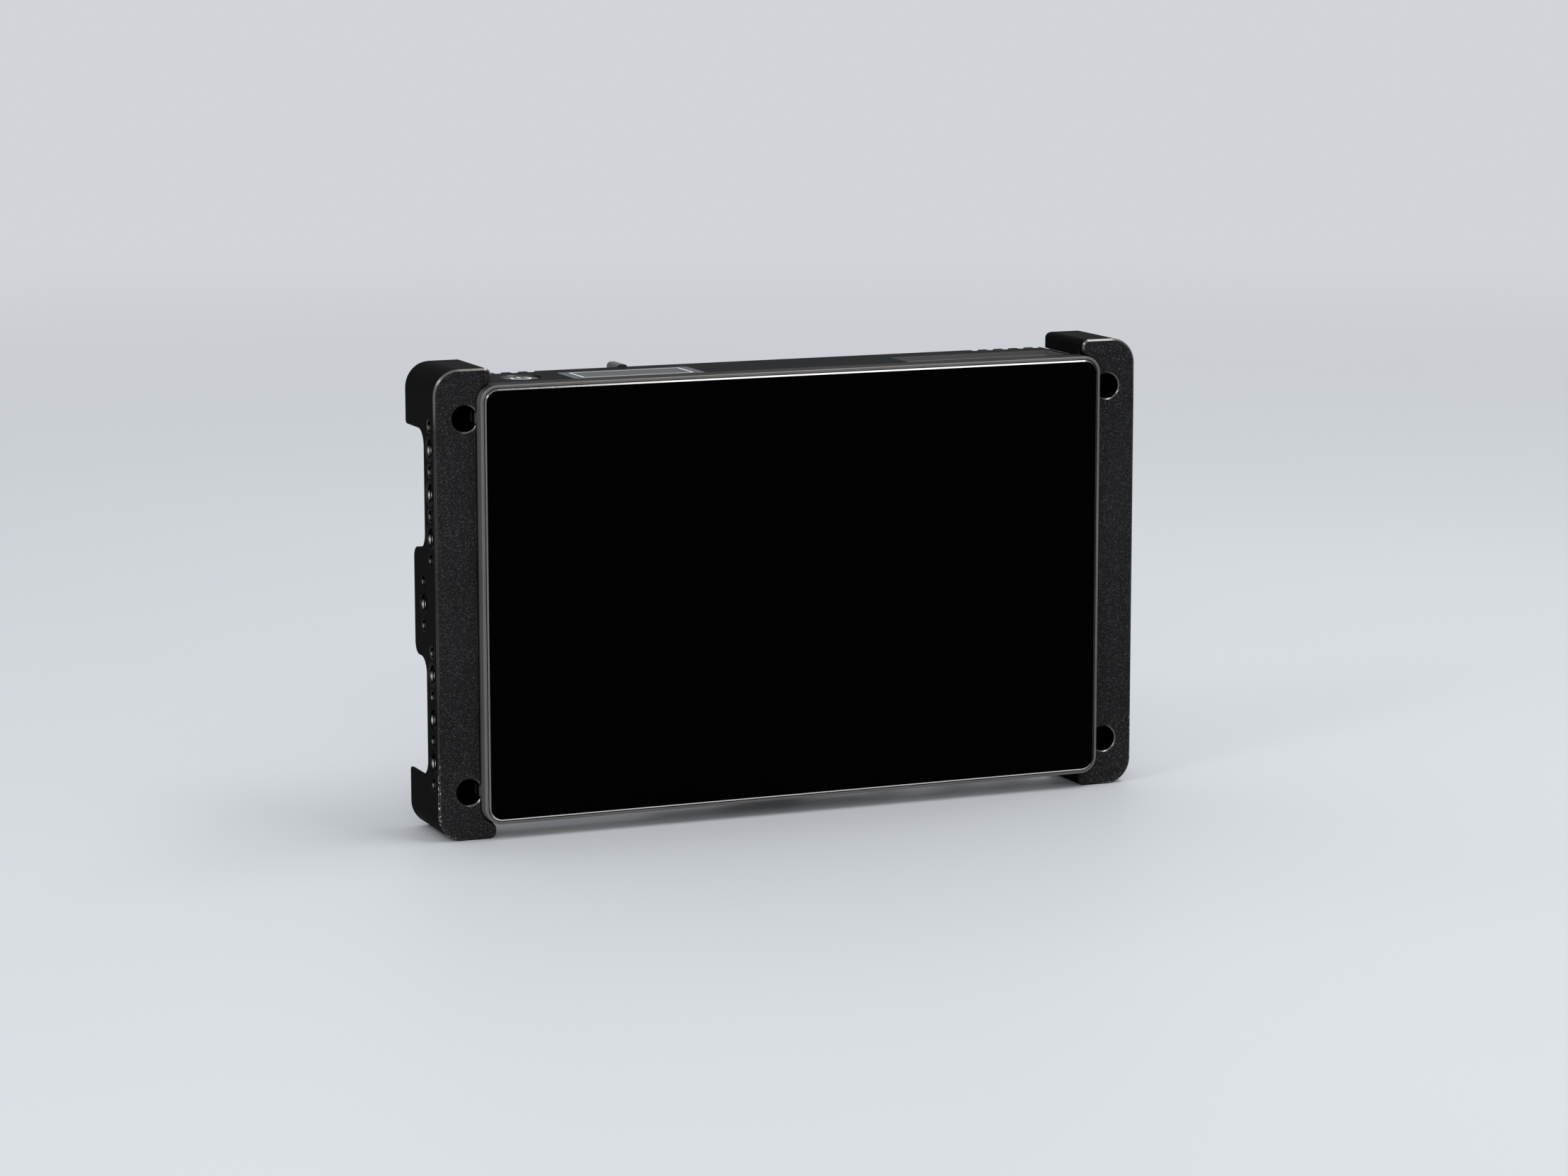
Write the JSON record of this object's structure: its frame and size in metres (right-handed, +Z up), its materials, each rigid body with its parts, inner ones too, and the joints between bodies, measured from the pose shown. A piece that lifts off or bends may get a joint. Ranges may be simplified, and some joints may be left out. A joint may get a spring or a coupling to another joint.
{
  "type": "camera field monitor",
  "caption": "Flat camera field monitor with a glass front, held between two machined side brackets with rows of tapped holes, and a battery plate on the back.",
  "frame": {"origin": "on the table under the middle of the whole box", "axes": "+X to the viewer's right, +Y from the screen to the back, +Z up"},
  "size_m": [0.1904, 0.0382, 0.1171],
  "materials": {
    "screen_glass": "clear cover glass, black behind, gloss",
    "frame_metal": "dark grey anodised, fine blasted",
    "bracket_black": "black anodised over bead blasting, bright worn edges",
    "housing_black": "black anodised, fine blasted",
    "plate_black": "moulded black plastic, fine texture",
    "button_black": "moulded black plastic",
    "board_green": "printed circuit board",
    "chip_black": "moulded chip package",
    "panel_grey": "display module",
    "sheet_metal": "plain sheet",
    "screw_steel": "black oxide steel",
    "nickel": "nickel plated brass",
    "contact_gold": "gold plated",
    "spring_steel": "bright spring wire",
    "rubber_black": "matt black rubber",
    "white_plastic": "white insulator"
  },
  "bodies": {
    "monitor": {"cover_glass": "screen_glass", "glass_gasket": "rubber_black", "bonding_sheet": "panel_grey", "front_frame": "frame_metal", "lcd_panel": "panel_grey", "backlight_unit": "panel_grey", "panel_cushion": "rubber_black", "panel_carrier": "sheet_metal", "carrier_screws": "screw_steel", "board_standoffs": "nickel", "main_board": "board_green", "board_chips": "chip_black", "board_screws": "screw_steel", "ribbon_cable": "contact_gold", "thermal_pad": "panel_grey", "heat_sink": "sheet_metal", "fan_posts": "sheet_metal", "fan_frame": "plate_black", "fan_bush": "contact_gold", "fan_screws": "screw_steel", "main_housing": "housing_black", "rear_cover": "housing_black", "cover_screws": "screw_steel", "button_board": "board_green", "power_switch": "chip_black", "sdi_in_socket": "nickel", "sdi_out_socket": "nickel", "sdi_insulators": "white_plastic", "sdi_contacts": "contact_gold", "power_inlet": "nickel", "inlet_pins": "contact_gold", "socket_nuts": "nickel", "hdmi_socket": "nickel", "hdmi_tongue": "chip_black", "tripod_insert": "spring_steel", "battery_plate": "plate_black", "plate_screws": "screw_steel", "contact_block": "plate_black", "battery_contacts": "contact_gold", "release_spring": "spring_steel", "release_keeper": "screw_steel", "keeper_screws": "screw_steel", "left_bracket": "bracket_black", "right_bracket": "bracket_black", "bracket_liners": "rubber_black", "bracket_screws": "screw_steel"},
    "fan": {"fan_rotor": "plate_black", "fan_shaft": "spring_steel"},
    "power_button": {"power_button": "button_black"},
    "battery_release": {"battery_release": "button_black"}
  },
  "joints": [
    {"name": "fan_spin", "type": "hinge", "parent": "monitor", "child": "fan", "pos_m": [0.056, -0.00111, 0.08155], "axis": [0, 1, 0], "continuous": true},
    {"name": "power_button_press", "type": "slide", "parent": "monitor", "child": "power_button", "axis": [0, 0, -1], "range_m": [0, 0.0006], "stiffness_N_per_m": 1500, "springref_m": -0.0005},
    {"name": "battery_release_press", "type": "slide", "parent": "monitor", "child": "battery_release", "axis": [0, 0, -1], "range_m": [0, 0.003], "stiffness_N_per_m": 700, "springref_m": -0.002, "deforming": ["release_spring"]}
  ]
}
